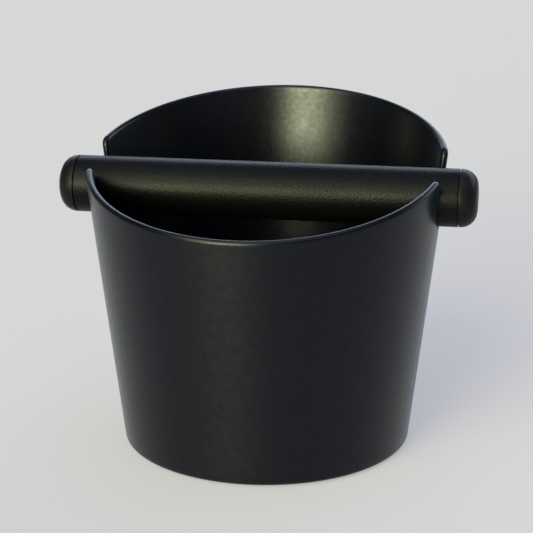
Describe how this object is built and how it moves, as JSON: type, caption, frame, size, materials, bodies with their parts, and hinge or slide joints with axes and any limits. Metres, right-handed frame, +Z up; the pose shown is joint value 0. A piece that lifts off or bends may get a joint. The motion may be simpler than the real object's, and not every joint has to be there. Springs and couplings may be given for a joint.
{
  "type": "espresso knock box",
  "caption": "Tapered plastic knock box with a slanted rim and a lift-out, rubber-covered knock bar lying across its mouth in open side slots.",
  "frame": {"origin": "on the counter under the bucket's axis, at the centre of the non-slip ring's tread", "axes": "+X along the knock bar to the right seen from the low side, -Y to the low front of the rim, +Z up"},
  "size_m": [0.173, 0.1487, 0.1373],
  "materials": {
    "bucket_plastic": "satin moulded black",
    "ring_rubber": "matte black",
    "core_steel": "drawn tube",
    "sleeve_rubber": "finely grained matte black",
    "cap_rubber": "fine matte black"
  },
  "bodies": {
    "bucket": {"bucket": "bucket_plastic", "base_ring": "ring_rubber"},
    "bar_core": {"bar_core": "core_steel"},
    "bar": {"bar_sleeve": "sleeve_rubber", "end_cap_left": "cap_rubber", "end_cap_right": "cap_rubber"}
  },
  "joints": [
    {"name": "bar_lift", "type": "slide", "parent": "bucket", "child": "bar_core", "axis": [0, 0, 1], "range_m": [0, 0.06]},
    {"name": "bar_turn", "type": "hinge", "parent": "bar_core", "child": "bar", "pos_m": [0, 0, 0.106], "axis": [1, 0, 0], "continuous": true}
  ]
}
